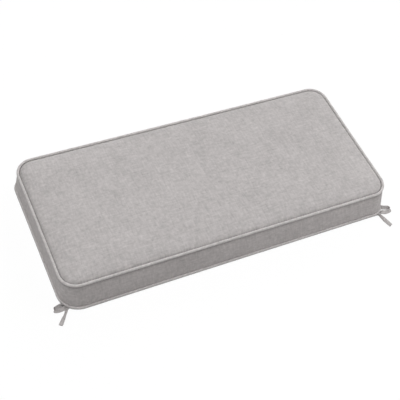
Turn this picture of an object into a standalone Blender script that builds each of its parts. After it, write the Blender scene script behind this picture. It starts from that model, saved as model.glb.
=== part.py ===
"""Bench cushion: a boxed, filled seat cushion with a covered welt round its top and bottom seams and
a fabric tie at each of its two front bottom corners.

Metres, +Z up. The origin is the middle of the flat rest face. The long sides face -Y and +Y, and
the front one, which carries the ties, faces -Y.
"""

import math

import bmesh
import bpy
from mathutils import Vector

# Driving dimensions. Lengths and widths run between the centre lines of the welts.
LENGTH = 1.016
WIDTH = 0.448
SEAM_RISE = 0.0925            # from the bottom welt's centre to the top welt's
CORNER_RADIUS = 0.050         # top corners, at the welt's centre line
BOTTOM_CORNER_RADIUS = 0.041
FLARE_X = 0.0040              # how much further out the bottom seam lies, at each short side
FLARE_Y = 0.0155              # and at each long side
DRAW_IN_X = 0.0005            # how far the middle of a side is pulled in
DRAW_IN_Y = 0.0005

WELT_RADIUS = 0.0040
GAP = 0.0003                  # between pieces that touch
TIE_WIDTH = 0.0120
TIE_THICKNESS = 0.0022

REST_INSET = 0.055            # where the bottom panel meets the surface it rests on
CROWN = 0.0115                # height of the top panel over its seam
WALL_FULLNESS = 0.0015        # how far the boxing swells past the line between the welts
WALL_TUCK = 0.0030            # how far it is drawn in again where it is sewn to a welt

# Heights that follow from the pieces under each other.
TIE_REST = GAP
BOTTOM_SEAM = TIE_REST + TIE_THICKNESS + GAP + WELT_RADIUS
TOP_SEAM = BOTTOM_SEAM + SEAM_RISE
NOOK_RADIUS = WELT_RADIUS + 0.0005   # the hollow in the cushion's edge that a welt sits in
LEAST_RADIUS = 0.012          # of a corner far inside the panel

# Fineness of the outline and of the sections.
CORNER_STEPS = 8
LONG_STEPS = 12
SHORT_STEPS = 6
WELT_SIDES = 10
ROUTE_STEPS = 3               # sections of a tie between two rows of its route

CLOTH_COLOUR = (0.475, 0.452, 0.445, 1.0)
WELT_COLOUR = (0.500, 0.476, 0.468, 1.0)
TIE_COLOUR = (0.430, 0.408, 0.402, 1.0)

# Each tie's route as the strip lies, from its sewn end round the loop, back under the welt and out
# along the free tail. "out" runs along X away from the corner's centre, "front" along -Y, both in
# millimetres; "lean" is 0 where the strip lies flat, 90 where it stands on its edge and up to 180
# where it lies over to the other side; "share" is the part of its full width that it keeps where it
# is gathered at the seam.
#     out   front lean share
TIE_RIGHT_ROUTE = (
    (31.5, 14.0, 0, 0.50),
    (37.4, 16.2, 0, 0.50),
    (41.8, 17.9, 6, 0.52),
    (45.2, 19.3, 34, 0.68),
    (48.6, 20.5, 70, 0.90),
    (53.2, 21.8, 88, 1.00),
    (59.0, 23.6, 92, 1.00),
    (64.4, 26.8, 94, 1.00),
    (68.2, 31.6, 94, 1.00),
    (69.2, 37.0, 92, 1.00),
    (66.4, 41.8, 88, 1.00),
    (60.8, 44.4, 85, 1.00),
    (54.0, 44.9, 83, 1.00),
    (47.6, 43.4, 82, 1.00),
    (42.8, 40.4, 74, 0.94),
    (39.6, 37.3, 46, 0.76),
    (36.7, 34.3, 16, 0.56),
    (33.6, 31.4, 0, 0.48),
    (30.2, 28.5, 0, 0.44),
    (26.2, 26.3, 0, 0.44),
    (22.4, 27.6, 0, 0.44),
    (22.2, 31.8, 0, 0.46),
    (24.9, 35.9, 4, 0.50),
    (27.8, 40.0, 30, 0.64),
    (29.8, 45.0, 66, 0.84),
    (31.0, 51.0, 96, 1.00),
    (32.0, 57.5, 118, 1.00),
    (33.4, 65.0, 136, 1.00),
    (35.6, 73.5, 148, 1.00),
    (38.2, 82.0, 153, 1.00),
    (40.4, 88.6, 155, 1.00),
)
TIE_LEFT_ROUTE = (
    (32.5, 6.5, 0, 0.50),
    (38.0, 8.2, 0, 0.50),
    (42.2, 9.5, 6, 0.52),
    (45.4, 10.7, 34, 0.68),
    (48.6, 11.8, 70, 0.90),
    (52.8, 13.0, 88, 1.00),
    (57.6, 14.5, 92, 1.00),
    (61.9, 16.8, 94, 1.00),
    (64.7, 20.6, 94, 1.00),
    (64.3, 25.0, 92, 1.00),
    (60.8, 28.4, 88, 1.00),
    (55.2, 30.2, 86, 1.00),
    (49.4, 30.5, 84, 1.00),
    (44.8, 29.4, 76, 0.96),
    (41.4, 27.9, 48, 0.78),
    (38.4, 26.3, 16, 0.56),
    (35.0, 24.3, 0, 0.48),
    (31.0, 21.9, 0, 0.44),
    (26.6, 20.9, 0, 0.44),
    (23.6, 23.6, 0, 0.44),
    (24.9, 27.8, 0, 0.46),
    (28.7, 31.4, 4, 0.50),
    (32.6, 34.9, 30, 0.64),
    (36.4, 38.7, 58, 0.84),
    (40.6, 43.8, 60, 1.00),
    (45.6, 49.9, 48, 1.00),
    (51.0, 56.6, 34, 1.00),
    (56.2, 62.8, 24, 1.00),
    (60.6, 68.0, 18, 1.00),
)


def clear_scene():
    for old in list(bpy.data.objects):
        bpy.data.objects.remove(old, do_unlink=True)


def cloth_material(name, colour):
    made = bpy.data.materials.new(name)
    made.use_nodes = True
    shader = made.node_tree.nodes["Principled BSDF"]
    shader.inputs["Base Color"].default_value = colour
    shader.inputs["Roughness"].default_value = 0.92
    shader.inputs["Metallic"].default_value = 0.0
    made.diffuse_color = colour
    return made


def outline(rise, inset):
    """Points round the cushion, anticlockwise from +X, at a share of the seam rise and an inset.

    The plan is a rectangle with round corners whose sides are pulled in a little between them.
    """
    flare = 1.0 - rise
    half_x = LENGTH / 2 + FLARE_X * flare
    half_y = WIDTH / 2 + FLARE_Y * flare
    radius = BOTTOM_CORNER_RADIUS + (CORNER_RADIUS - BOTTOM_CORNER_RADIUS) * rise
    radius = max(radius - inset, LEAST_RADIUS)
    reach_x = half_x - inset - radius
    reach_y = half_y - inset - radius
    corners = ((1, 1), (-1, 1), (-1, -1), (1, -1))
    plain = []
    for quarter, (side_x, side_y) in enumerate(corners):
        for step in range(CORNER_STEPS + 1):
            angle = math.radians(90 * (quarter + step / CORNER_STEPS))
            x = side_x * reach_x + radius * math.cos(angle)
            y = side_y * reach_y + radius * math.sin(angle)
            plain.append((x, y))
        next_x, next_y = corners[(quarter + 1) % 4]
        angle = math.radians(90 * (quarter + 1))
        start = plain[-1]
        end_x = next_x * reach_x + radius * math.cos(angle)
        end_y = next_y * reach_y + radius * math.sin(angle)
        steps = LONG_STEPS if quarter % 2 == 0 else SHORT_STEPS
        for step in range(1, steps):
            along = step / steps
            x = start[0] + (end_x - start[0]) * along
            y = start[1] + (end_y - start[1]) * along
            plain.append((x, y))
    pulled = []
    for x, y in plain:
        pull_x = 1 - DRAW_IN_X / half_x * (1 - (y / half_y) ** 2)
        pull_y = 1 - DRAW_IN_Y / half_y * (1 - (x / half_x) ** 2)
        pulled.append((x * pull_x, y * pull_y))
    return pulled


def nook(rise, degrees):
    """The cushion's surface in the hollow behind a welt: 0 is the seam itself, 90 is above it."""
    angle = math.radians(degrees)
    seam = BOTTOM_SEAM + SEAM_RISE * rise
    return rise, NOOK_RADIUS * math.cos(angle), seam + NOOK_RADIUS * math.sin(angle)


def boxing(rise):
    """The boxing between the two nooks, a share of the way up: full in its middle, and drawn in
    beside each welt."""
    from_middle = abs(2 * rise - 1)
    inset = WALL_TUCK * from_middle**6 - WALL_FULLNESS * (1 - from_middle**2)
    return rise, inset, BOTTOM_SEAM + SEAM_RISE * rise


def body_levels():
    """(rise, inset, height) of each ring of the cushion's surface, from its rest face to its crown.

    "rise" picks the outline: 0 is the bottom seam's, 1 the top seam's.
    """
    bottom_panel = (
        (REST_INSET, 0.0),
        (0.034, 0.0004),
        (0.019, 0.0017),
        (0.0105, 0.0036),
    )
    top_panel = (
        (0.0056, 0.14),
        (0.0080, 0.29),
        (0.0120, 0.43),
        (0.0180, 0.58),
        (0.0260, 0.72),
        (0.0400, 0.85),
        (0.0700, 0.93),
        (0.1100, 0.98),
        (0.1600, 1.00),
    )
    levels = [(0, inset, height) for inset, height in bottom_panel]
    levels += [nook(0, degrees) for degrees in (0, 38, 68)]
    levels += [boxing(rise) for rise in (0.10, 0.20, 0.35, 0.50, 0.65, 0.80, 0.90)]
    levels += [nook(1, degrees) for degrees in (-68, -38, 0)]
    levels += [(1, inset, TOP_SEAM + CROWN * share) for inset, share in top_panel]
    return levels


def add_object(name, mesh_maker, material):
    mesh = bpy.data.meshes.new(name)
    mesh_maker.normal_update()
    mesh_maker.to_mesh(mesh)
    mesh_maker.free()
    mesh.materials.append(material)
    mesh.shade_smooth()
    mesh.set_sharp_from_angle(angle=math.radians(50))
    made = bpy.data.objects.new(name, mesh)
    bpy.context.scene.collection.objects.link(made)
    return made


def loft(rings, closed):
    """Bridges rings of equal length in order. A closed loft joins its last ring to its first, and
    an open one is capped at both ends."""
    maker = bmesh.new()
    rows = [[maker.verts.new(point) for point in ring] for ring in rings]
    pairs = list(zip(rows, rows[1:]))
    if closed:
        pairs.append((rows[-1], rows[0]))
    count = len(rows[0])
    for lower, upper in pairs:
        for index in range(count):
            after = (index + 1) % count
            maker.faces.new((lower[index], lower[after], upper[after], upper[index]))
    if not closed:
        maker.faces.new(rows[0][::-1])
        maker.faces.new(rows[-1])
    return maker


def make_body(material):
    rings = []
    for rise, inset, height in body_levels():
        rings.append([Vector((x, y, height)) for x, y in outline(rise, inset)])
    return add_object("cushion_body", loft(rings, closed=False), material)


def make_welt(name, rise, material):
    """A round cord, covered in cloth, all the way round the cushion at one seam."""
    height = BOTTOM_SEAM + SEAM_RISE * rise
    path = [Vector((x, y, height)) for x, y in outline(rise, 0.0)]
    up = Vector((0, 0, 1))
    rings = []
    for index, point in enumerate(path):
        ahead = path[(index + 1) % len(path)] - path[index - 1]
        outward = ahead.cross(up).normalized()
        ring = []
        for side in range(WELT_SIDES):
            angle = 2 * math.pi * (side + 0.5) / WELT_SIDES
            offset = outward * math.cos(angle) + up * math.sin(angle)
            ring.append(point + offset * WELT_RADIUS)
        rings.append(ring)
    maker = loft(rings, closed=True)
    bmesh.ops.recalc_face_normals(maker, faces=maker.faces[:])
    return add_object(name, maker, material)


def smooth_row(rows, index, part):
    """A Catmull-Rom point a part of the way from one row of a route to the next."""
    last = len(rows) - 1
    before, here = rows[max(index - 1, 0)], rows[index]
    there, after = rows[min(index + 1, last)], rows[min(index + 2, last)]
    values = []
    for a, b, c, d in zip(before, here, there, after):
        curve = (2 * a - 5 * b + 4 * c - d) * part**2 + (3 * b - a - 3 * c + d) * part**3
        values.append(b + ((c - a) * part + curve) / 2)
    return values


def tie_stations(route, side):
    """Points along the middle of the strip, with its lean and width at each."""
    centre_x = LENGTH / 2 + FLARE_X - BOTTOM_CORNER_RADIUS
    centre_y = WIDTH / 2 + FLARE_Y - BOTTOM_CORNER_RADIUS
    stations = []
    for index in range(len(route) - 1):
        for step in range(ROUTE_STEPS):
            stations.append(smooth_row(route, index, step / ROUTE_STEPS))
    stations.append(route[-1])
    placed = []
    for out, front, lean, share in stations:
        lean = math.radians(max(lean, 0))
        width = TIE_WIDTH * share
        rest = TIE_REST + (width * math.sin(lean) + TIE_THICKNESS * abs(math.cos(lean))) / 2
        point = Vector((side * (centre_x + out / 1000), -centre_y - front / 1000, rest))
        placed.append((point, lean, width))
    return placed


def strip_section(point, ahead, lean, width, side):
    """One section of a flat strip: a rectangle with its four corners taken off."""
    up = Vector((0, 0, 1))
    across_flat = ahead.cross(up).normalized() * side
    stood = across_flat.cross(ahead).normalized() * side
    across = across_flat * math.cos(lean) + stood * math.sin(lean)
    through = ahead.cross(across).normalized()
    half_width, half_thick = width / 2, TIE_THICKNESS / 2
    eased = half_thick / 2
    plan = (
        (half_width, -eased),
        (half_width, eased),
        (half_width - eased, half_thick),
        (eased - half_width, half_thick),
        (-half_width, eased),
        (-half_width, -eased),
        (eased - half_width, -half_thick),
        (half_width - eased, -half_thick),
    )
    return [point + across * a + through * b for a, b in plan]


def make_tie(name, route, side, material):
    """A narrow sewn strip: its loop stands on edge beside the corner and its tail lies free."""
    stations = tie_stations(route, side)
    rings = []
    for index, (point, lean, width) in enumerate(stations):
        before = stations[max(index - 1, 0)][0]
        after = stations[min(index + 1, len(stations) - 1)][0]
        rings.append(strip_section(point, (after - before).normalized(), lean, width, side))
    maker = loft(rings, closed=False)
    bmesh.ops.recalc_face_normals(maker, faces=maker.faces[:])
    return add_object(name, maker, material)


def main():
    clear_scene()
    cloth = cloth_material("cushion cloth", CLOTH_COLOUR)
    welt_cloth = cloth_material("welt cloth", WELT_COLOUR)
    tie_cloth = cloth_material("tie cloth", TIE_COLOUR)
    make_body(cloth)
    make_welt("welt_bottom", 0, welt_cloth)
    make_welt("welt_top", 1, welt_cloth)
    make_tie("tie_right", TIE_RIGHT_ROUTE, 1, tie_cloth)
    make_tie("tie_left", TIE_LEFT_ROUTE, -1, tie_cloth)


main()
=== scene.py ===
"""The looks of a boxed bench cushion: its sewn cover, its welts and its ties, round its solids.

Metres, +Z up, in the solids' frame: the origin is the middle of the rest face, and the front long
side, which carries the two ties, faces -Y.
"""

import math

import bmesh
import bpy
import numpy as np
from mathutils import Matrix, Vector, noise
from mathutils.geometry import delaunay_2d_cdt


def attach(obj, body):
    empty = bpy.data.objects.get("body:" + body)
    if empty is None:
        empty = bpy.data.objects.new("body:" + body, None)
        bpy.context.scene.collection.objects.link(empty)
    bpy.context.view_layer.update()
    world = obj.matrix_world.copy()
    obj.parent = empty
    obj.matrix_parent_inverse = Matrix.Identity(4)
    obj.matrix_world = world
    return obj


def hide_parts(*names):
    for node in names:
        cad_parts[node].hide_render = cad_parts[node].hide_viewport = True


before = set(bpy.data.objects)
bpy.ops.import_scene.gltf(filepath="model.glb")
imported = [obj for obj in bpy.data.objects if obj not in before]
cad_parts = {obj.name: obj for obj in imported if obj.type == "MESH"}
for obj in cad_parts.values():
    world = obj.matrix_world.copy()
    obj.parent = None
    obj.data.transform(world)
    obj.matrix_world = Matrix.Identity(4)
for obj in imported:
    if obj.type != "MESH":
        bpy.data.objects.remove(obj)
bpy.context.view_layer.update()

# The cushion's sizes as its cloth lies. They differ from the solids' own by 1 or 2 mm, and by up to
# 20 mm in the radii of the bottom corners, which brings the cloth there up to 7 mm away from them.
# Lengths and widths run between the centre lines of the welts.
LENGTH = 1.016
WIDTH = 0.4492
TOP_FORWARD = 0.0006          # how far the top seam lies in front of the middle
SEAM_RISE = 0.0925            # height of the top seam over the bottom one
CORNER_RADIUS = 0.050         # of the top seam
BOTTOM_CORNERS = (0.041, 0.041, 0.061, 0.034)   # rear right, rear left, front left, front right
BOTTOM_TURN = 0.0033          # how far the bottom seam's right end lies back, for each metre of it
LEAST_RADIUS = 0.012          # of a corner far inside the panel
FLARE_X = 0.0049              # how much further out the bottom seam lies, at each short side
FLARE_Y = 0.0143              # and at each long side
DRAW_IN_X = 0.0005            # how far the middle of a side is pulled in
DRAW_IN_Y = 0.0005
WELT_RADIUS = 0.0040
NOOK_RADIUS = WELT_RADIUS + 0.0005   # the hollow in the cover's edge that a welt sits in
BOTTOM_SEAM = 0.0068          # height of the bottom welt's centre
TOP_SEAM = BOTTOM_SEAM + SEAM_RISE
CROWN = 0.0130                # height of the top panel's cloth over its seam
WALL_FULLNESS = 0.0018        # how far the boxing swells past the line between the welts
TIE_CORNER = (0.4710, 0.1985)   # from the middle to the point that a tie's route is measured from
TIE_WIDTH = 0.0120
TIE_REST = 0.0003             # a tie's least height over the surface

# The view of the photograph: a camera aimed near the cushion's middle.
VIEW_AZIMUTH = -32.75
VIEW_ELEVATION = 52.52
VIEW_ROLL = 11.05
VIEW_DISTANCE = 2.6213
VIEW_RIGHT = -0.0091          # how far right the camera stands of the line to the cushion's middle
VIEW_UP = -0.0391             # and how far up from it, as the picture lies
MIDDLE = Vector((0.0, 0.0, 0.0545))
FOCAL_PIXELS = 880.0
FRAME_PIXELS = 400
SENSOR = 36.0
NEAREST_SEEN = 0.05
FARTHEST_SEEN = 60.0

# Each tie's route as the strip lies, from its sewn end round the loop, back under the welt and out
# along the free tail. "out" runs along X away from the cushion's middle, "front" along -Y, both in
# millimetres; "lean" is 0 where the strip lies flat, 90 where it stands on its edge and up to 180
# where it lies over to the other side; "share" is the part of its full width that it keeps where it
# is gathered at the seam.
#     out   front lean share
TIE_RIGHT_ROUTE = (
    (31.5, 13.6, 0, 0.50),
    (35.6, 15.4, 0, 0.50),
    (38.0, 16.4, 10, 0.56),
    (40.0, 17.4, 62, 0.86),
    (42.2, 18.0, 122, 0.98),
    (44.8, 19.9, 138, 1.00),
    (48.6, 21.9, 142, 1.00),
    (53.2, 23.7, 143, 1.00),
    (58.2, 25.5, 142, 1.00),
    (62.6, 27.6, 128, 1.00),
    (66.2, 31.2, 92, 1.00),
    (67.9, 35.8, 58, 1.00),
    (65.8, 39.0, 42, 1.00),
    (60.8, 40.5, 34, 1.00),
    (54.2, 40.6, 30, 1.00),
    (48.4, 40.2, 30, 1.00),
    (44.4, 39.4, 36, 1.00),
    (41.2, 38.2, 42, 1.00),
    (38.6, 36.9, 42, 0.97),
    (36.0, 35.0, 28, 0.76),
    (33.2, 32.4, 4, 0.50),
    (29.4, 28.8, 0, 0.45),
    (25.2, 27.6, 0, 0.44),
    (21.6, 29.2, 0, 0.44),
    (20.8, 32.6, 0, 0.44),
    (22.0, 35.8, 0, 0.46),
    (23.6, 38.6, 18, 0.60),
    (24.5, 41.6, 62, 0.86),
    (24.8, 45.0, 90, 1.00),
    (25.0, 49.0, 97, 1.00),
    (25.9, 53.6, 104, 1.00),
    (27.6, 58.4, 114, 1.00),
    (29.8, 63.0, 134, 1.00),
    (31.8, 67.6, 147, 1.00),
    (34.0, 73.5, 149, 1.00),
    (37.1, 82.0, 152, 1.00),
    (39.8, 89.8, 153, 1.00),
)
TIE_LEFT_ROUTE = (
    (29.0, 10.0, 0, 0.50),
    (33.4, 11.6, 0, 0.50),
    (36.2, 12.6, 10, 0.56),
    (38.6, 13.4, 62, 0.86),
    (41.0, 14.0, 118, 0.98),
    (44.0, 14.6, 132, 1.00),
    (48.8, 15.4, 139, 1.00),
    (52.8, 16.6, 142, 1.00),
    (56.8, 17.8, 141, 1.00),
    (60.6, 18.9, 130, 1.00),
    (63.2, 22.0, 98, 1.00),
    (63.7, 25.0, 64, 1.00),
    (60.2, 26.2, 44, 1.00),
    (55.0, 26.6, 34, 1.00),
    (49.8, 26.8, 32, 1.00),
    (45.4, 26.7, 33, 1.00),
    (41.8, 26.3, 36, 1.00),
    (38.6, 25.6, 37, 1.00),
    (35.6, 24.8, 36, 0.98),
    (32.6, 23.8, 28, 0.80),
    (29.6, 22.8, 6, 0.54),
    (27.0, 23.2, 0, 0.44),
    (26.4, 25.4, 0, 0.44),
    (28.0, 27.8, 0, 0.44),
    (30.6, 30.0, 2, 0.46),
    (32.9, 32.8, 20, 0.56),
    (34.6, 36.0, 40, 0.72),
    (36.9, 40.0, 50, 0.90),
    (40.9, 45.2, 48, 1.00),
    (45.8, 51.2, 34, 1.00),
    (51.0, 57.6, 20, 1.00),
    (56.2, 64.0, 11, 1.00),
    (61.6, 70.6, 6, 1.00),
)


# ---------------------------------------------------------------- camera, light and floor

def add_camera():
    """A camera at the photograph's viewing angle."""
    azimuth, elevation = math.radians(VIEW_AZIMUTH), math.radians(VIEW_ELEVATION)
    back = Vector((
        math.sin(azimuth) * math.cos(elevation),
        -math.cos(azimuth) * math.cos(elevation),
        math.sin(elevation),
    ))
    level = Vector((math.cos(azimuth), math.sin(azimuth), 0.0))
    upright = back.cross(level)
    roll = math.radians(VIEW_ROLL)
    right = level * math.cos(roll) + upright * math.sin(roll)
    up = upright * math.cos(roll) - level * math.sin(roll)
    place = MIDDLE + back * VIEW_DISTANCE + right * VIEW_RIGHT + up * VIEW_UP
    data = bpy.data.cameras.new("view")
    data.sensor_width = SENSOR
    data.lens = FOCAL_PIXELS * SENSOR / FRAME_PIXELS
    data.clip_start = NEAREST_SEEN
    data.clip_end = FARTHEST_SEEN
    camera = bpy.data.objects.new("view", data)
    turn = Matrix((right, up, back)).transposed().to_4x4()
    camera.matrix_world = Matrix.Translation(place) @ turn
    bpy.context.scene.collection.objects.link(camera)
    bpy.context.scene.camera = camera


WHITE = (1.0, 1.0, 1.0, 1.0)
BLACK = (0.0, 0.0, 0.0, 1.0)

# Large soft lights, as in a studio. "round" is the way round from behind the cushion towards its
# right end and "tilt" the angle from straight above, both in degrees.
#     round tilt brightness
SOFT_LIGHTS = (
    (240, 25, 0.605),
    (0, 52, 0.165),
    (90, 52, 0.30),
    (45, 76, 0.46),
    (270, 75, 0.045),
)
SOFTNESS = 48.0               # the angle that each light spans, in degrees
SIDE_LAMP = (0.66, -1.00, 0.45)   # a small square lamp near the right end of the front side
SIDE_LAMP_AIM = (0.25, 0.0, 0.05)
SIDE_LAMP_SIZE = 0.5
SIDE_LAMP_WATTS = 1.15
ROOM_ABOVE = 0.02             # brightness of the room's upper half


def add_lights():
    """The soft lights, the side lamp and a white room round them."""
    for number, (around, tilt, brightness) in enumerate(SOFT_LIGHTS):
        data = bpy.data.lights.new(f"soft_light_{number}", "SUN")
        data.energy = math.pi * brightness
        data.angle = math.radians(SOFTNESS)
        light = bpy.data.objects.new(data.name, data)
        turn, lean = math.radians(around), math.radians(tilt)
        level = math.sin(lean)
        aim = Vector((level * math.sin(turn), level * math.cos(turn), math.cos(lean)))
        light.rotation_mode = "QUATERNION"
        light.rotation_quaternion = aim.to_track_quat("Z", "Y")
        bpy.context.scene.collection.objects.link(light)
    data = bpy.data.lights.new("side_lamp", "AREA")
    data.size = SIDE_LAMP_SIZE
    data.energy = SIDE_LAMP_WATTS
    lamp = bpy.data.objects.new("side_lamp", data)
    lamp.location = SIDE_LAMP
    lamp.rotation_mode = "QUATERNION"
    lamp.rotation_quaternion = (Vector(SIDE_LAMP) - Vector(SIDE_LAMP_AIM)).to_track_quat("Z", "Y")
    bpy.context.scene.collection.objects.link(lamp)
    world = bpy.data.worlds.new("white room")
    world.use_nodes = True
    bpy.context.scene.world = world
    tree = Tree(world)
    seen = tree.add("ShaderNodeLightPath").outputs["Is Camera Ray"]
    shade = world.node_tree.nodes["Background"]
    tree.fill(shade.inputs["Strength"], tree.math("MAXIMUM", seen, ROOM_ABOVE))
    shade.inputs["Color"].default_value = WHITE
    bpy.context.scene.view_settings.view_transform = "Standard"


FLOOR_HALF = 14.0             # half of the floor's side
FLOOR_GREY = (0.676, 0.660, 0.656, 1.0)   # its colour for the light that it throws back
FLOOR_SEEN = 0.06             # its grey where it is seen directly
FLOOR_GLOW = 0.945            # and the brightness that it then has of itself
CONTACT_REACH = 0.025         # how close things darken the floor that they cover
CONTACT_SAMPLES = 24
CONTACT_SLOPE = 4.0           # how fast the glow comes back with the open share of what is above
CONTACT_START = -0.72
CONTACT_DARKEST = 0.05


def add_floor():
    """A plain white floor. Seen directly it is bright of itself, so that shadows on it stay faint,
    and it is dark only close under something."""
    half = FLOOR_HALF
    mesh = bpy.data.meshes.new("floor")
    corners = [(-half, -half, 0), (half, -half, 0), (half, half, 0), (-half, half, 0)]
    mesh.from_pydata(corners, [], [(0, 1, 2, 3)])
    material = bpy.data.materials.new("floor white")
    material.use_nodes = True
    tree = Tree(material)
    seen = tree.add("ShaderNodeLightPath").outputs["Is Camera Ray"]
    shader = material.node_tree.nodes["Principled BSDF"]
    pale = (FLOOR_SEEN, FLOOR_SEEN, FLOOR_SEEN, 1.0)
    tree.fill(shader.inputs["Base Color"], tree.blend(seen, FLOOR_GREY, pale))
    shader.inputs["Roughness"].default_value = 1.0
    shader.inputs["Specular IOR Level"].default_value = 0.0
    shader.inputs["Emission Color"].default_value = WHITE
    open_share = tree.add("ShaderNodeAmbientOcclusion", samples=CONTACT_SAMPLES)
    open_share.inputs["Distance"].default_value = CONTACT_REACH
    bright = tree.math("MULTIPLY_ADD", open_share.outputs["AO"], CONTACT_SLOPE, CONTACT_START)
    bright = tree.math("MINIMUM", tree.math("MAXIMUM", bright, CONTACT_DARKEST), 1.0)
    bright = tree.math("MULTIPLY", bright, FLOOR_GLOW)
    tree.fill(shader.inputs["Emission Strength"], tree.math("MULTIPLY", seen, bright))
    mesh.materials.append(material)
    floor = bpy.data.objects.new("floor", mesh)
    bpy.context.scene.collection.objects.link(floor)


# ---------------------------------------------------------------- cloth

THREAD = 0.00062              # from one thread's middle to the next
THREAD_RELIEF = 0.00016       # height of the weave's relief
RELIEF_STRENGTH = 0.45
TONE_RELIEF = 1.2             # how much thicker the light threads are
DRIFT_SIZE = 0.030            # the threads don't run quite straight: the size of a bend
DRIFT_REACH = 0.004           # and how far it takes them aside
DARK_THREAD = 0.60            # the melange's two ends, as shares of the cloth's colour
LIGHT_THREAD = 1.40
CLOTH_ROUGHNESS = (0.10, 0.84)   # how much rougher light threads are, and the least roughness
CLOTH_SPECULAR = 0.25
SHEEN = 0.10
SHEEN_ROUGHNESS = 0.5
BIAS = 45                     # degrees that cloth cut on the bias is turned by


class Tree:
    """Adds nodes to one material or world and joins them."""

    def __init__(self, owner):
        self.tree = owner.node_tree

    def add(self, kind, **settings):
        node = self.tree.nodes.new(kind)
        for name, value in settings.items():
            setattr(node, name, value)
        return node

    def fill(self, socket, value):
        if isinstance(value, bpy.types.NodeSocket):
            self.tree.links.new(value, socket)
        else:
            socket.default_value = value

    def math(self, operation, *values):
        node = self.add("ShaderNodeMath", operation=operation)
        for socket, value in zip(node.inputs, values):
            self.fill(socket, value)
        return node.outputs[0]

    def vector(self, operation, *values):
        node = self.add("ShaderNodeVectorMath", operation=operation)
        for socket, value in zip(node.inputs, values):
            self.fill(socket, value)
        return node.outputs[0]

    def noise(self, place, across, along, detail=1.0):
        """Noise whose specks measure across by along, in metres, with a middle value of zero."""
        node = self.add("ShaderNodeTexNoise", noise_dimensions="2D")
        stretched = self.vector("MULTIPLY", place, (1 / across, 1 / along, 0.0))
        self.fill(node.inputs["Vector"], stretched)
        node.inputs["Scale"].default_value = 1.0
        node.inputs["Detail"].default_value = detail
        return self.math("SUBTRACT", node.outputs["Fac"], 0.5)

    def blend(self, share, first, second):
        node = self.add("ShaderNodeMix", data_type="RGBA")
        self.fill(node.inputs[0], share)
        self.fill(node.inputs[6], first)
        self.fill(node.inputs[7], second)
        return node.outputs[2]


# Melange of the cloth: noise that darkens and lightens its threads. "across" and "along" are the
# size of a speck in millimetres, "turned" is 1 for threads that run the other way.
#     across along turned amount
MELANGE = (
    (1.2, 16.0, 0, 0.18),
    (1.2, 16.0, 1, 0.18),
    (4.0, 34.0, 0, 0.30),
    (4.0, 34.0, 1, 0.34),
    (8.5, 8.5, 0, 0.42),
    (24.0, 24.0, 0, 0.22),
    (80.0, 80.0, 0, 0.20),
)


def shaded(colour, share):
    return tuple(channel * share for channel in colour) + (1.0,)


def cloth(name, colour, bias=False, with_painted_shade=False):
    """Plain-weave linen-look cloth. The "thread" map gives the place on the cloth, in metres. Cloth
    with painted shade reads the attribute "crease", which says how much darker its colour is
    painted beside a seam or underneath, where shade falls."""
    material = bpy.data.materials.new(name)
    material.use_nodes = True
    tree = Tree(material)
    shader = material.node_tree.nodes["Principled BSDF"]
    place = tree.add("ShaderNodeUVMap", uv_map="thread").outputs[0]
    if bias:
        turn = tree.add("ShaderNodeVectorRotate", rotation_type="Z_AXIS")
        tree.fill(turn.inputs["Vector"], place)
        turn.inputs["Angle"].default_value = math.radians(BIAS)
        place = turn.outputs[0]
    drift = tree.noise(place, DRIFT_SIZE, DRIFT_SIZE)
    shift = tree.add("ShaderNodeCombineXYZ")
    tree.fill(shift.inputs[0], tree.math("MULTIPLY", drift, DRIFT_REACH))
    tree.fill(shift.inputs[1], tree.math("MULTIPLY", drift, -DRIFT_REACH))
    place = tree.vector("ADD", place, shift.outputs[0])
    tone = 0.5
    for across, along, turned, amount in MELANGE:
        size = (along, across) if turned else (across, along)
        speck = tree.noise(place, size[0] / 1000, size[1] / 1000, detail=2.0)
        tone = tree.math("MULTIPLY_ADD", speck, amount, tone)
    shown = tree.blend(tone, shaded(colour, DARK_THREAD), shaded(colour, LIGHT_THREAD))
    if with_painted_shade:
        # Painted shade: the colour is blended towards black by the attribute "crease".
        crease = tree.add("ShaderNodeAttribute", attribute_name="crease").outputs["Fac"]
        shown = tree.blend(crease, shown, BLACK)
    tree.fill(shader.inputs["Base Color"], shown)
    apart = tree.add("ShaderNodeSeparateXYZ")
    tree.fill(apart.inputs[0], place)
    turns = [tree.math("MULTIPLY", side, math.pi / THREAD) for side in apart.outputs[:2]]
    waves = [tree.math("SINE", turn) for turn in turns]
    over = tree.math("GREATER_THAN", tree.math("MULTIPLY", *waves), 0.0)
    warp, weft = [tree.math("ABSOLUTE", wave) for wave in waves]
    lie = tree.add("ShaderNodeMix", data_type="FLOAT")
    tree.fill(lie.inputs[0], over)
    tree.fill(lie.inputs[2], weft)
    tree.fill(lie.inputs[3], warp)
    height = tree.math("MULTIPLY_ADD", tone, TONE_RELIEF, lie.outputs[0])
    bump = tree.add("ShaderNodeBump")
    bump.inputs["Strength"].default_value = RELIEF_STRENGTH
    bump.inputs["Distance"].default_value = THREAD_RELIEF
    tree.fill(bump.inputs["Height"], height)
    tree.fill(shader.inputs["Normal"], bump.outputs[0])
    tree.fill(shader.inputs["Roughness"], tree.math("MULTIPLY_ADD", tone, *CLOTH_ROUGHNESS))
    shader.inputs["Specular IOR Level"].default_value = CLOTH_SPECULAR
    shader.inputs["Sheen Weight"].default_value = SHEEN
    shader.inputs["Sheen Roughness"].default_value = SHEEN_ROUGHNESS
    material.diffuse_color = colour + (1.0,)
    return material


PLY_SIZE = 0.0003             # of the sewing thread
PLY_SHADES = (0.85, 1.15)
SEWING_ROUGHNESS = 0.6


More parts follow.
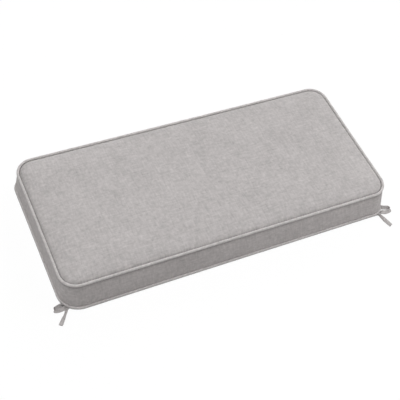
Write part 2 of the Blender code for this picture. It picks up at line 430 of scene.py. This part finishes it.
def thread_material(name, colour):
    """Sewing thread: two plies twisted round each other."""
    material = bpy.data.materials.new(name)
    material.use_nodes = True
    tree = Tree(material)
    shader = material.node_tree.nodes["Principled BSDF"]
    place = tree.add("ShaderNodeUVMap", uv_map="thread").outputs[0]
    twist = tree.noise(place, PLY_SIZE, PLY_SIZE)
    dark, light = [shaded(colour, share) for share in PLY_SHADES]
    share = tree.math("MULTIPLY_ADD", twist, 1.0, 0.5)
    tree.fill(shader.inputs["Base Color"], tree.blend(share, dark, light))
    shader.inputs["Roughness"].default_value = SEWING_ROUGHNESS
    return material


# ---------------------------------------------------------------- meshes

def ring_plan(corner_steps, long_steps, short_steps):
    """A row for each point of a ring: its corner, and its shares of the turn there and of the
    straight side that follows it."""
    rows = []
    for corner in range(4):
        rows += [(corner, step / corner_steps, 0.0) for step in range(corner_steps + 1)]
        steps = long_steps if corner % 2 == 0 else short_steps
        rows += [(corner, 1.0, step / steps) for step in range(1, steps)]
    return np.array(rows)


def outline(plan, rise, inset):
    """The plan of the cushion at a share of its seam rise and an inset: a rectangle with round
    corners, whose sides are pulled in a little between them."""
    flare = 1.0 - rise
    half_x = LENGTH / 2 + FLARE_X * flare
    half_y = WIDTH / 2 + FLARE_Y * flare
    radii = np.array(BOTTOM_CORNERS) * flare + CORNER_RADIUS * rise
    radii = np.maximum(radii - inset, LEAST_RADIUS)[:, None]
    signs = np.array([(1, 1), (-1, 1), (-1, -1), (1, -1)])
    centres = signs * ((half_x - inset, half_y - inset) - radii)
    corner = plan[:, 0].astype(int)
    following = (corner + 1) % 4
    angle = np.pi / 2 * (plan[:, 0] + plan[:, 1])
    spoke = np.column_stack((np.cos(angle), np.sin(angle)))
    along = plan[:, 2:3]
    here = centres[corner] + radii[corner] * spoke
    there = centres[following] + radii[following] * spoke
    x, y = (here * (1 - along) + there * along).T
    pulled_x = x * (1 - DRAW_IN_X / half_x * (1 - (y / half_y) ** 2))
    pulled_y = y * (1 - DRAW_IN_Y / half_y * (1 - (x / half_x) ** 2))
    pulled_y += BOTTOM_TURN * x * flare - TOP_FORWARD * rise
    return np.column_stack((pulled_x, pulled_y))


def distance_round(path):
    """How far along a closed path each point lies, and its whole length."""
    steps = np.linalg.norm(np.roll(path, -1, axis=0) - path, axis=1)
    return np.concatenate(([0.0], np.cumsum(steps)[:-1])), steps.sum()


TINY = 1e-9                   # keeps a division from being one by zero
RIPPLE_PARTS = 7              # waves that add up to a ripple
RIPPLE_RANGE = (0.65, 1.5)    # their numbers, as shares of the mean


def ripple(distance, total, wavelength, seed):
    """An irregular wave along a closed path, with about this wavelength and a size of about 1."""
    draw = np.random.default_rng(seed)
    wave = np.zeros_like(distance)
    for _ in range(RIPPLE_PARTS):
        turns = round(total / wavelength * draw.uniform(*RIPPLE_RANGE))
        wave += np.cos(2 * np.pi * turns * distance / total + draw.uniform(0, 2 * np.pi))
    return wave / math.sqrt(RIPPLE_PARTS)


def add_object(name, points, faces, face_maps, material):
    """A smooth mesh. face_maps holds a (u, v) for each corner of each face, in metres."""
    mesh = bpy.data.meshes.new(name)
    mesh.from_pydata(np.asarray(points, float).tolist(), [], [list(face) for face in faces])
    layer = mesh.uv_layers.new(name="thread")
    layer.uv.foreach_set("vector", np.asarray(face_maps, np.float32).ravel())
    mesh.materials.append(material)
    mesh.shade_smooth()
    made = bpy.data.objects.new(name, mesh)
    bpy.context.scene.collection.objects.link(made)
    return made


def sleeve(name, rows, along, across, material, closed):
    """A skin over rows of points, each row a loop. along and across are the map's distances, with
    one more than there are rows or points in a row. A closed skin joins its last row to its first,
    and an open one is capped."""
    count, sides = rows.shape[:2]
    faces, maps = [], []
    for row in range(count if closed else count - 1):
        after = (row + 1) % count
        for side in range(sides):
            beside = (side + 1) % sides
            faces.append((
                row * sides + side,
                row * sides + beside,
                after * sides + beside,
                after * sides + side,
            ))
            maps += [
                (along[row], across[side]),
                (along[row], across[side + 1]),
                (along[row + 1], across[side + 1]),
                (along[row + 1], across[side]),
            ]
    if not closed:
        first = list(range(sides))[::-1]
        last = [(count - 1) * sides + side for side in range(sides)]
        for cap, end in ((first, along[0]), (last, along[count - 1])):
            faces.append(cap)
            maps += [(end, across[index % sides]) for index in cap]
    return add_object(name, rows.reshape(-1, 3), faces, maps, material)


# ---------------------------------------------------------------- the cover

COVER_STEPS = (10, 114, 43)   # points of a ring: round a corner, along a long side, a short side
PANEL_SPACING = 0.0080        # between points in the middle of a panel
PANEL_CLEARANCE = 0.55        # of the spacing, between those points and the panel's border
CROWN_CORNERS = 0.05          # how round the crown's level lines are
CROWN_RUN = 0.07              # from the border's last ring to where the panel is at its full height
WALL_RISES = (*np.linspace(0.065, 0.915, 13), 0.938)   # of the boxing's rings, as shares
WALL_SQUARENESS = 8           # how long the boxing stays full before it turns in
NOOK_ANGLES = (0, 38, 68)     # of the rings in the hollow behind a welt, in degrees from the seam
PRESSURE = 4.0
SWELL_CAP = 0.0020            # how far the filling may push a point of the cover
SIMULATED_FRAMES = 20
SEAM_HOLD = 0.060             # up to this far from a seam its layers hold the cloth back
HOLD_SOFTNESS = 1.5
CLOTH_QUALITY = 5
CLOTH_MASS = 0.3
CLOTH_STRETCH = 40.0          # stiffness in tension and in compression
CLOTH_BEND = 2.0

# The top panel's border, from its seam inwards and up, in millimetres.
#     inset height
TOP_BORDER = (
    (5.3, 0.2),
    (6.4, 1.0),
    (7.8, 2.6),
    (9.8, 4.4),
    (13.2, 6.2),
    (18.0, 7.85),
    (23.5, 9.1),
    (30.0, 10.2),
    (38.0, 11.15),
    (48.0, 11.9),
)
# The bottom panel's border, from the face it rests on outwards, in millimetres.
#     inset height
BOTTOM_BORDER = (
    (55.0, 0.0),
    (44.0, 0.08),
    (34.0, 0.4),
    (26.0, 0.9),
    (19.0, 1.7),
    (14.0, 2.7),
    (10.5, 3.6),
)


def nook(rise, degrees):
    """The cover in the hollow behind a welt: 0 is the seam itself, 90 is above it."""
    angle = math.radians(degrees)
    seam = BOTTOM_SEAM + SEAM_RISE * rise
    return rise, NOOK_RADIUS * math.cos(angle), seam + NOOK_RADIUS * math.sin(angle)


def cover_levels():
    """(rise, inset, height) of each ring, and the numbers of the two rings that are the seams. The
    boxing stays full until it turns in, close to each welt."""
    levels = [(0, inset / 1000, height / 1000) for inset, height in BOTTOM_BORDER]
    bottom_seam = len(levels)
    levels += [nook(0, degrees) for degrees in NOOK_ANGLES]
    for rise in WALL_RISES:
        from_middle = abs(2 * rise - 1)
        inset = -WALL_FULLNESS * (1 - from_middle**WALL_SQUARENESS)
        levels.append((rise, inset, BOTTOM_SEAM + SEAM_RISE * rise))
    levels += [nook(1, -degrees) for degrees in reversed(NOOK_ANGLES)]
    top_seam = len(levels) - 1
    for inset, height in TOP_BORDER:
        levels.append((1, inset / 1000, TOP_SEAM + height / 1000))
    return levels, bottom_seam, top_seam


def panel_points(edge, spacing):
    """A square grid of points inside a ring, clear of it."""
    half_x, half_y = edge[:, 0].max(), edge[:, 1].max()
    count_x, count_y = round(2 * half_x / spacing), round(2 * half_y / spacing)
    xs = np.linspace(-half_x, half_x, count_x + 1)[1:-1]
    ys = np.linspace(-half_y, half_y, count_y + 1)[1:-1]
    grid = np.array([(x, y) for x in xs for y in ys])
    reach = np.linalg.norm(grid[:, None, :] - edge[None, :, :], axis=2).min(axis=1)
    return grid[reach > PANEL_CLEARANCE * spacing]


def crown_height(points):
    """The panel's height over its seam, from the border's last ring to its middle."""
    to_x = LENGTH / 2 - np.abs(points[:, 0])
    to_y = WIDTH / 2 - np.abs(points[:, 1])
    near = -CROWN_CORNERS * np.log(np.exp(-to_x / CROWN_CORNERS) + np.exp(-to_y / CROWN_CORNERS))
    edge, start = TOP_BORDER[-1][0] / 1000, TOP_BORDER[-1][1] / 1000
    along = np.clip((near - edge) / CROWN_RUN, 0, 1)
    return start + (CROWN - start) * (1 - (1 - along) ** 2)


CLOSEST_POINTS = 1e-7         # nearer than this, two points of a panel are one
SQUARE_LIMIT = 0.6            # how far two triangles may bend and skew, to be joined to a square


def fill_panel(maker, ring, points, heights):
    """Fills the inside of a ring of vertices, in squares where they fit."""
    edge = [vertex.co.xy for vertex in ring]
    flat = edge + [Vector(point) for point in points]
    count = len(edge)
    sides = [(index, (index + 1) % count) for index in range(count)]
    placed, _, faces, origins, _, _ = delaunay_2d_cdt(flat, sides, [], 1, CLOSEST_POINTS)
    made = {}
    for index, sources in enumerate(origins):
        source = sources[0]
        if source < count:
            made[index] = ring[source]
        else:
            x, y = placed[index]
            made[index] = maker.verts.new((x, y, heights[source - count]))
    filled = [maker.faces.new([made[index] for index in face]) for face in faces]
    bmesh.ops.join_triangles(
        maker,
        faces=filled,
        angle_face_threshold=SQUARE_LIMIT,
        angle_shape_threshold=SQUARE_LIMIT,
    )


ON_THE_SURFACE = 1e-5         # points lower than this rest on it


def cover_mesh(material):
    """The sewn cover as closed cloth: bottom panel, boxing and top panel, joined at two seams. With
    it come the points that the filling can't move."""
    plan = ring_plan(*COVER_STEPS)
    levels, bottom_seam, top_seam = cover_levels()
    maker = bmesh.new()
    thread = maker.loops.layers.uv.new("thread")
    around, total = distance_round(outline(plan, 1, 0.0))
    around = np.append(around, total)
    rings, run = [], [0.0]
    for rise, inset, height in levels:
        flat = outline(plan, rise, inset)
        rings.append([maker.verts.new((x, y, height)) for x, y in flat])
    for lower, upper in zip(levels, levels[1:]):
        run.append(run[-1] + math.hypot(upper[1] - lower[1], upper[2] - lower[2]))
    count = len(plan)
    for level in range(len(rings) - 1):
        boxing = bottom_seam <= level < top_seam
        for index in range(count):
            after = (index + 1) % count
            corners = (
                (level, index, index),
                (level, after, index + 1),
                (level + 1, after, index + 1),
                (level + 1, index, index),
            )
            face = maker.faces.new([rings[row][place] for row, place, _ in corners])
            for loop, (row, _, distance) in zip(face.loops, corners):
                if boxing:
                    loop[thread].uv = (around[distance], run[row])
                else:
                    loop[thread].uv = loop.vert.co.xy
    strip_faces = len(maker.faces)
    top = panel_points(np.array([vertex.co.xy for vertex in rings[-1]]), PANEL_SPACING)
    heights = TOP_SEAM + crown_height(top)
    fill_panel(maker, rings[-1], top, heights)
    bottom = panel_points(np.array([vertex.co.xy for vertex in rings[0]]), 2 * PANEL_SPACING)
    fill_panel(maker, rings[0][::-1], bottom, np.zeros(len(bottom)))
    maker.faces.ensure_lookup_table()
    for face in maker.faces[strip_faces:]:
        for loop in face.loops:
            loop[thread].uv = loop.vert.co.xy
    bmesh.ops.recalc_face_normals(maker, faces=maker.faces[:])
    mesh = bpy.data.meshes.new("cover")
    maker.verts.index_update()
    pins = [vertex.index for ring in rings[bottom_seam:bottom_seam + 2] for vertex in ring]
    pins += [vertex.index for ring in rings[top_seam - 1:top_seam + 1] for vertex in ring]
    pins += [vertex.index for vertex in maker.verts if vertex.co.z < ON_THE_SURFACE]
    maker.to_mesh(mesh)
    maker.free()
    mesh.materials.append(material)
    made = bpy.data.objects.new("cover", mesh)
    bpy.context.scene.collection.objects.link(made)
    return made, pins


def points_of(mesh):
    points = np.empty(len(mesh.vertices) * 3, np.float32)
    mesh.vertices.foreach_get("co", points)
    return points.reshape(-1, 3).astype(float)


def set_points(mesh, points):
    mesh.vertices.foreach_set("co", points.astype(np.float32).ravel())
    mesh.update()


def fill_cover(cover, pins):
    """Swells the cover against its seams with a cloth simulation, and keeps the result."""
    group = cover.vertex_groups.new(name="seams")
    group.add(pins, 1.0, "REPLACE")
    before = points_of(cover.data)
    modifier = cover.modifiers.new("filling", "CLOTH")
    modifier.settings.quality = CLOTH_QUALITY
    modifier.settings.mass = CLOTH_MASS
    modifier.settings.vertex_group_mass = group.name
    modifier.settings.use_pressure = True
    modifier.settings.uniform_pressure_force = PRESSURE
    modifier.settings.effector_weights.gravity = 0.0
    modifier.settings.tension_stiffness = CLOTH_STRETCH
    modifier.settings.compression_stiffness = CLOTH_STRETCH
    modifier.settings.bending_stiffness = CLOTH_BEND
    scene = bpy.context.scene
    for number in range(1, SIMULATED_FRAMES + 1):
        scene.frame_set(number)
    shown = cover.evaluated_get(bpy.context.evaluated_depsgraph_get())
    moved = points_of(shown.data) - before
    cover.modifiers.remove(modifier)
    scene.frame_set(1)
    length = np.linalg.norm(moved, axis=1, keepdims=True)
    reach = np.min([seam_reach(before, rise)[1] for rise in (0, 1)], axis=0)
    free = np.clip((reach - NOOK_RADIUS) / SEAM_HOLD, 0, 1)[:, None] ** HOLD_SOFTNESS
    capped = free * SWELL_CAP * np.tanh(length / SWELL_CAP)
    set_points(cover.data, before + moved * capped / np.maximum(length, TINY))
    cover.vertex_groups.clear()


def subdivide(target):
    """One smooth subdivision, applied."""
    modifier = target.modifiers.new("finer", "SUBSURF")
    modifier.levels = modifier.render_levels = 1
    modifier.uv_smooth = "PRESERVE_BOUNDARIES"
    shown = target.evaluated_get(bpy.context.evaluated_depsgraph_get())
    finer = bpy.data.meshes.new_from_object(shown)
    target.modifiers.remove(modifier)
    coarse = target.data
    target.data = finer
    bpy.data.meshes.remove(coarse)
    finer.name = target.name


CHUNKS = 12                   # the points are compared in this many parts, to save memory


def nearest_on(path, points):
    """For each point, the number of the nearest point of a path and how far off it is."""
    nearest, reach = [], []
    for chunk in np.array_split(points, CHUNKS):
        gaps = np.linalg.norm(chunk[:, None, :] - path[None, :, :], axis=2)
        nearest.append(gaps.argmin(axis=1))
        reach.append(gaps.min(axis=1))
    return np.concatenate(nearest), np.concatenate(reach)


def seam_reach(points, rise):
    """For each point, how far along a seam the nearest part of it lies, how far off that is, and
    the seam's length."""
    flat = outline(ring_plan(*COVER_STEPS), rise, NOOK_RADIUS)
    path = np.column_stack((flat, np.full(len(flat), BOTTOM_SEAM + SEAM_RISE * rise)))
    around, total = distance_round(path)
    nearest, reach = nearest_on(path, points)
    return around[nearest], reach, total


TUCK_LENGTH = 0.016           # from one tuck beside a seam to the next
TUCK_PATCHES = 0.20           # length of a stretch with deeper or fainter tucks
TUCK_HEIGHT = 0.00022
TUCK_REACH = 0.011            # how far from its seam a tuck fades
UNEVEN_SCALE = 9.0            # about how many bumps there are in a metre
UNEVEN_HEIGHT = 0.00045
UNEVEN_FROM = 0.02            # height over the surface from which the cloth is fully uneven
PAINTED_SHADE_BELOW = (0.78, 0.0100)   # depth and reach of the painted shade under the top seam
PAINTED_SHADE_ABOVE = (0.26, 0.0035)   # and over it
PAINTED_SHADE_CHANGE = 0.002         # height over which the one gives way to the other


# Stores painted shade in the attribute "crease": how much darker a point's colour is made.
def add_painted_shade(mesh, values):
    layer = mesh.attributes.new("crease", "FLOAT", "POINT")
    layer.data.foreach_set("value", values.astype(np.float32))


def pucker_seams(cover):
    """Small tucks beside both seams, where the cloth is sewn to the welt, a faint unevenness, and
    the painted shade beside the top seam, which darkens the cloth's colour where the welt's shadow
    falls."""
    mesh = cover.data
    points = points_of(mesh)
    normals = np.empty(len(points) * 3, np.float32)
    mesh.vertex_normals.foreach_get("vector", normals)
    normals = normals.reshape(-1, 3)
    offset = np.zeros(len(points))
    for rise in (0, 1):
        distance, reach, total = seam_reach(points, rise)
        tucks = ripple(distance, total, TUCK_LENGTH, 10 + rise)
        patches = 0.6 + 0.4 * ripple(distance, total, TUCK_PATCHES, 20 + rise)
        offset += TUCK_HEIGHT * tucks * patches * np.exp(-(reach / TUCK_REACH) ** 2)
    unevenness = [noise.noise(Vector(point) * UNEVEN_SCALE) for point in points]
    free = np.clip(points[:, 2] / UNEVEN_FROM, 0, 1)
    offset += UNEVEN_HEIGHT * np.array(unevenness) * free
    moved = points + normals * offset[:, None]
    moved[:, 2] = np.maximum(moved[:, 2], 0.0)
    set_points(mesh, moved)
    # Painted shade: the cloth's colour is darkened under the top seam, where the welt casts its
    # shadow, and more faintly over it in the groove.
    # The last reach is the one to the top seam.
    below = np.clip(0.5 - (points[:, 2] - TOP_SEAM) / PAINTED_SHADE_CHANGE, 0, 1)
    crease = below * PAINTED_SHADE_BELOW[0] * np.exp(-(reach / PAINTED_SHADE_BELOW[1]) ** 2)
    crease += (1 - below) * PAINTED_SHADE_ABOVE[0] * np.exp(-(reach / PAINTED_SHADE_ABOVE[1]) ** 2)
    add_painted_shade(mesh, crease)


def make_cover(material):
    cover, pins = cover_mesh(material)
    fill_cover(cover, pins)
    subdivide(cover)
    pucker_seams(cover)
    cover.data.shade_smooth()
    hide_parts("cushion_body")
    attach(cover, "root")


# ---------------------------------------------------------------- the welts

WELT_STEPS = (34, 420, 165)   # points round a corner, along a long side and along a short side
WELT_SIDES = 16
WELT_TUCK_LENGTH = 0.0085
WELT_TUCKS = 0.030            # height of the tucks, as a share of the radius
WELT_UNEVEN_LENGTH = 0.060
WELT_UNEVEN = 0.018
WELT_JOIN = 0.22              # where the covering strip's ends meet, as a share of the way round
JOIN_RIDGE = (0.00030, 0.006)   # height and reach of the layers there
JOIN_SEAM = (0.00045, 0.0016)   # depth and reach of the seam between them
WELT_SHADE = 0.36             # how much darker the bottom welt's underside is painted: painted shade near the floor
WELT_SHADE_TOP = 0.9          # where that begins, in radii over its middle


def make_welt(name, node, rise, seed, material):
    """A cord covered in cloth cut on the bias, with small tucks towards the seam and one join. The
    bottom one has painted shade underneath: its colour is darker there, where shade falls near the
    floor."""
    flat = outline(ring_plan(*WELT_STEPS), rise, 0.0)
    around, total = distance_round(flat)
    ahead = np.roll(flat, -1, axis=0) - np.roll(flat, 1, axis=0)
    ahead /= np.linalg.norm(ahead, axis=1, keepdims=True)
    outward = np.column_stack((ahead[:, 1], -ahead[:, 0]))
    angle = 2 * np.pi * (np.arange(WELT_SIDES) + 0.5) / WELT_SIDES
    inner = 0.5 - 0.5 * np.cos(angle)
    lag = WELT_RADIUS * np.where(angle > np.pi, angle - 2 * np.pi, angle)
    slanted = around[:, None] + lag[None, :]
    tucks = ripple(slanted, total, WELT_TUCK_LENGTH, seed) * (0.25 + 0.75 * inner)
    uneven = ripple(around, total, WELT_UNEVEN_LENGTH, seed + 1)[:, None]
    past = slanted - WELT_JOIN * total
    ridge = JOIN_RIDGE[0] * np.exp(-(past / JOIN_RIDGE[1]) ** 2)
    seam = JOIN_SEAM[0] * np.exp(-(past / JOIN_SEAM[1]) ** 2)
    radius = WELT_RADIUS * (1 + WELT_TUCKS * tucks + WELT_UNEVEN * uneven) + (ridge - seam)
    height = BOTTOM_SEAM + SEAM_RISE * rise
    rows = np.empty((len(flat), WELT_SIDES, 3))
    rows[:, :, :2] = flat[:, None, :] + outward[:, None, :] * (radius * np.cos(angle))[:, :, None]
    rows[:, :, 2] = height + radius * np.sin(angle)
    across = WELT_RADIUS * 2 * np.pi * np.arange(WELT_SIDES + 1) / WELT_SIDES
    welt = sleeve(name, rows[:, ::-1], np.append(around, total), across, material, closed=True)
    # Painted shade: the bottom welt's colour is darkened on its underside, kept in the attribute
    # "crease".
    if rise == 0:
        under = WELT_SHADE_TOP - (points_of(welt.data)[:, 2] - height) / WELT_RADIUS
        add_painted_shade(welt.data, WELT_SHADE * np.clip(under, 0, 1))
    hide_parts(node)
    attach(welt, "root")


# ---------------------------------------------------------------- the ties

ROUTE_STEPS = 8               # sections between two rows of a route
TIE_CLOTH = 0.0018            # thickness of the sewn strip
TIE_PRESSED = 0.60            # share of it that is left where the strip is folded flat on itself
PRESSED_FROM = 60             # degrees of turn at the fold, from which it is pressed
PRESSED_OVER = 90             # and over how many more degrees it becomes so in full
TIE_SIDES = 17                # points across one face of the strip
SECTION_STEPS = 96            # steps in which a section's line is worked out
FOLD_SPAN = 0.0018            # cloth taken up by a sharp fold
UPRIGHT_SPAN = 20             # within this many degrees of upright the strip's crease fades
CREASE_MEAN = 14              # the crease along the strip, in degrees
CREASE_SWING = 10             # and how far it varies round that
CREASE_LENGTH = 0.017         # in a wave of this length times two pi
TAIL = 0.050                  # length of the free end
RIGHT_TAIL_CREASE = -50       # the crease at its tip, in degrees
LEFT_TAIL_CREASE = 16
EDGE_ROUNDING = 0.0009
EDGE_LEAST = 0.05             # least share of the thickness that a rounded edge keeps, squared
SEWN_EDGE = 0.0014            # from the strip's sewn edge to its row of stitches
SEWN_PINCH = 0.30             # how much thinner the strip is there
SEWN_REACH = 0.0008
STITCH = 0.0026
STITCH_GAP = 0.0005
STITCH_RADIUS = 0.00028
STITCH_SIDES = 6
STITCH_RINGS = ((0.0, 0.35), (0.12, 0.9), (0.5, 1.0), (0.88, 0.9), (1.0, 0.35))   # place, size
STITCH_LIFT = 0.55            # in radii: how high a stitch's middle stands off the cloth
STITCH_DIP = 1.6              # and how far its ends go down from that
STITCH_MAP = 0.0003           # width of one of its sides on the thread map
STITCH_NEAR = 1e-4            # how far ahead and back its direction is read
FIRST_STITCH = 0.004          # from the strip's ends to the first and the last stitch
LAST_STITCH = 0.001
OPEN_SHARE = 0.62             # the strip is sewn where it is opened wider than this


def smooth_row(rows, index, part):
    """A Catmull-Rom point a part of the way from one row of a route to the next."""
    last = len(rows) - 1
    before, here = rows[max(index - 1, 0)], rows[index]
    there, after = rows[min(index + 1, last)], rows[min(index + 2, last)]
    values = []
    for a, b, c, d in zip(before, here, there, after):
        curve = (2 * a - 5 * b + 4 * c - d) * part**2 + (3 * b - a - 3 * c + d) * part**3
        values.append(b + ((c - a) * part + curve) / 2)
    return values


def tie_stations(route, side):
    """(x, y, lean, share) at each section of the strip, in metres and radians."""
    rows = []
    for index in range(len(route) - 1):
        for step in range(ROUTE_STEPS):
            rows.append(smooth_row(route, index, step / ROUTE_STEPS))
    rows.append(route[-1])
    out, front, lean, share = np.array(rows, float).T
    x = side * (TIE_CORNER[0] + out / 1000)
    y = -TIE_CORNER[1] - front / 1000
    return np.column_stack((x, y, np.radians(np.maximum(lean, 0)), share))


def fold_angles(lean, share, crease):
    """How the strip's two halves lie: the angle of the first one, from the floor at its foot, and
    the turn at the crease. Gathered under the welt the strip is folded flat on itself, and it opens
    as it gets clear."""
    tilt = min(lean, math.pi - lean)
    opened = math.acos(max(min(2 * share - 1, 1), -1))
    clear = min(max((share - 0.5) / (OPEN_SHARE - 0.5), 0), 1)
    clear = clear * clear * (3 - 2 * clear)
    bulge = crease * min((math.pi / 2 - tilt) / math.radians(UPRIGHT_SPAN), 1)
    turn = math.pi - (math.pi - opened) * clear
    if turn < abs(bulge):
        turn = bulge
    return max(tilt - turn / 2, 0), turn


def strip_section(lean, share, crease):
    """The middle line of one section across the strip, as (across, height), with its normals and
    its half thickness."""
    first, turn = fold_angles(lean, share, crease)
    steps = SECTION_STEPS
    place = (np.arange(steps) + 0.5) / steps * TIE_WIDTH
    bend = np.clip((place - TIE_WIDTH / 2) / FOLD_SPAN + 0.5, 0, 1)
    direction = first + turn * bend * bend * (3 - 2 * bend)
    if lean > math.pi / 2:
        direction = math.pi - direction
    walk = np.cumsum(np.column_stack((np.cos(direction), np.sin(direction))), axis=0)
    walk = np.vstack(((0.0, 0.0), walk * TIE_WIDTH / steps))
    ends = np.linspace(0, steps, TIE_SIDES)
    line = np.column_stack([np.interp(ends, np.arange(steps + 1), walk[:, k]) for k in (0, 1)])
    tilt = np.interp(ends, np.arange(steps) + 0.5, direction)
    normal = np.column_stack((-np.sin(tilt), np.cos(tilt)))
    pressed = (turn - math.radians(PRESSED_FROM)) / math.radians(PRESSED_OVER)
    pressed = min(max(pressed, 0), 1)
    return line, normal, TIE_CLOTH / 2 * (1 - (1 - TIE_PRESSED) * pressed)


def strip_loop(lean, share, crease):
    """One closed section of the strip, its one face and then its other, and each face alone."""
    line, normal, half = strip_section(lean, share, crease)
    part = np.linspace(0, 1, TIE_SIDES)
    from_sewn = (1 - part) * TIE_WIDTH
    pinch = SEWN_PINCH * np.exp(-((from_sewn - SEWN_EDGE) / SEWN_REACH) ** 2)
    edge = np.minimum(part, 1 - part) * TIE_WIDTH
    flatter = 1 - np.clip(edge / EDGE_ROUNDING, 0, 1)
    rounding = np.sqrt(np.clip(1 - flatter**2, EDGE_LEAST, 1))
    reach = normal * (half * (1 - pinch) * rounding)[:, None]
    return np.vstack((line + reach, (line - reach)[::-1])), line + reach, line - reach


def tie_frame(stations):
    """Directions across the strip, on the flat, at each section, and the distances along it."""
    flat = stations[:, :2]
    ahead = np.gradient(flat, axis=0)
    ahead /= np.linalg.norm(ahead, axis=1, keepdims=True)
    across = np.column_stack((ahead[:, 1], -ahead[:, 0]))
    steps = np.linalg.norm(np.diff(flat, axis=0), axis=1)
    return across, np.concatenate(([0.0], np.cumsum(steps)))


def make_tie(name, node, route, side, tail_crease, material, sewing):
    """A narrow strip, folded and edge stitched: its loop leans on its edge, its tail lies free."""
    stations = tie_stations(route, side)
    across, along = tie_frame(stations)
    across = across * side
    rows, tops = [], []
    for (x, y, lean, share), sideways, distance in zip(stations, across, along):
        near_end = min(max(1 - (along[-1] - distance) / TAIL, 0), 1)
        loose = CREASE_MEAN + CREASE_SWING * math.sin(distance / CREASE_LENGTH)
        crease = math.radians(loose + (tail_crease - loose) * near_end**0.5)
        loop, upper, lower = strip_loop(lean, share, crease)
        middle = (loop[:, 0].min() + loop[:, 0].max()) / 2
        lift = TIE_REST - loop[:, 1].min()
        placed = []
        for points in (loop, upper, lower):
            flat = (x, y) + sideways * (points[:, :1] - middle)
            placed.append(np.column_stack((flat, points[:, 1] + lift)))
        rows.append(placed[0])
        tops.append(placed[1:])
    rows = np.array(rows)
    if side > 0:
        rows = rows[:, ::-1]
    girth = np.linspace(0, 2 * TIE_WIDTH, rows.shape[1] + 1)
    tie = sleeve(name, rows, along, girth, material, closed=False)
    sewn = stations[:, 3] > OPEN_SHARE
    stitches = make_stitches(name + "_stitches", np.array(tops), along, sewn, sewing)
    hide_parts(node)
    for piece in (tie, stitches):
        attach(piece, "root")


def place_on(run, along, at):
    """The place on a run of points at a distance along it."""
    return np.array([np.interp(at, along, run[:, k]) for k in range(3)])


def add_stitch(points, faces, maps, start, along, run, outward):
    """One stitch along a run of points, from start on: a short rod with round ends."""
    base, sides = len(points), STITCH_SIDES
    for part, size in STITCH_RINGS:
        at = start + part * STITCH
        centre, away = place_on(run, along, at), place_on(outward, along, at)
        ahead = place_on(run, along, at + STITCH_NEAR) - place_on(run, along, at - STITCH_NEAR)
        beside = np.cross(ahead, away)
        beside /= max(np.linalg.norm(beside), TINY)
        dip = STITCH_RADIUS * (STITCH_LIFT - STITCH_DIP * (2 * part - 1) ** 4)
        for number in range(sides):
            angle = 2 * math.pi * number / sides
            offset = away * math.sin(angle) + beside * math.cos(angle)
            points.append(centre + away * dip + offset * STITCH_RADIUS * size)
    for ring in range(len(STITCH_RINGS) - 1):
        low, high = base + ring * sides, base + (ring + 1) * sides
        here, there = [start + part * STITCH for part, _ in STITCH_RINGS[ring:ring + 2]]
        for number in range(sides):
            after = (number + 1) % sides
            faces.append((low + number, low + after, high + after, high + number))
            maps += [(here, number * STITCH_MAP)] * 2
            maps += [(there, number * STITCH_MAP)] * 2
    last = base + (len(STITCH_RINGS) - 1) * sides
    faces.append(tuple(range(base, base + sides))[::-1])
    faces.append(tuple(range(last, last + sides)))
    maps += [(start, 0.0)] * (2 * sides)


def make_stitches(name, sides_of_strip, along, sewn, material):
    """The strip's row of stitches, on both of its sides, where it is sewn."""
    column = (TIE_SIDES - 1) * (1 - SEWN_EDGE / TIE_WIDTH)
    left = int(column)
    share = column - left
    upper, lower = [
        sides_of_strip[:, side, left] * (1 - share) + sides_of_strip[:, side, left + 1] * share
        for side in (0, 1)
    ]
    out = (sides_of_strip[:, 0] - sides_of_strip[:, 1])[:, left]
    out = out / np.maximum(np.linalg.norm(out, axis=1, keepdims=True), TINY)
    points, faces, maps = [], [], []
    for run, outward in ((upper, out), (lower, -out)):
        start = FIRST_STITCH
        while start + STITCH < along[-1] - LAST_STITCH:
            if np.interp(start, along, sewn) >= 1 and np.interp(start + STITCH, along, sewn) >= 1:
                add_stitch(points, faces, maps, start, along, run, outward)
            start += STITCH + STITCH_GAP
    return add_object(name, points, faces, maps, material)


# ---------------------------------------------------------------- all of it

COVER_COLOUR = (0.481, 0.457, 0.452)
# The welts' cloth is lighter than the cover's: painted highlight, standing in for the bright line
# of light along each welt.
WELT_COLOUR = (0.560, 0.533, 0.527)
TIE_COLOUR = (0.481, 0.457, 0.452)
THREAD_COLOUR = (0.520, 0.500, 0.490)


def main():
    add_camera()
    add_lights()
    add_floor()
    make_cover(cloth("cover cloth", COVER_COLOUR, with_painted_shade=True))
    welt_cloth = cloth("welt cloth", WELT_COLOUR, bias=True, with_painted_shade=True)
    make_welt("top_welt", "welt_top", 1, 40, welt_cloth)
    make_welt("bottom_welt", "welt_bottom", 0, 50, welt_cloth)
    tie_cloth = cloth("tie cloth", TIE_COLOUR)
    sewing = thread_material("sewing thread", THREAD_COLOUR)
    right, left = (TIE_RIGHT_ROUTE, 1, RIGHT_TAIL_CREASE), (TIE_LEFT_ROUTE, -1, LEFT_TAIL_CREASE)
    make_tie("right_tie", "tie_right", *right, tie_cloth, sewing)
    make_tie("left_tie", "tie_left", *left, tie_cloth, sewing)


main()
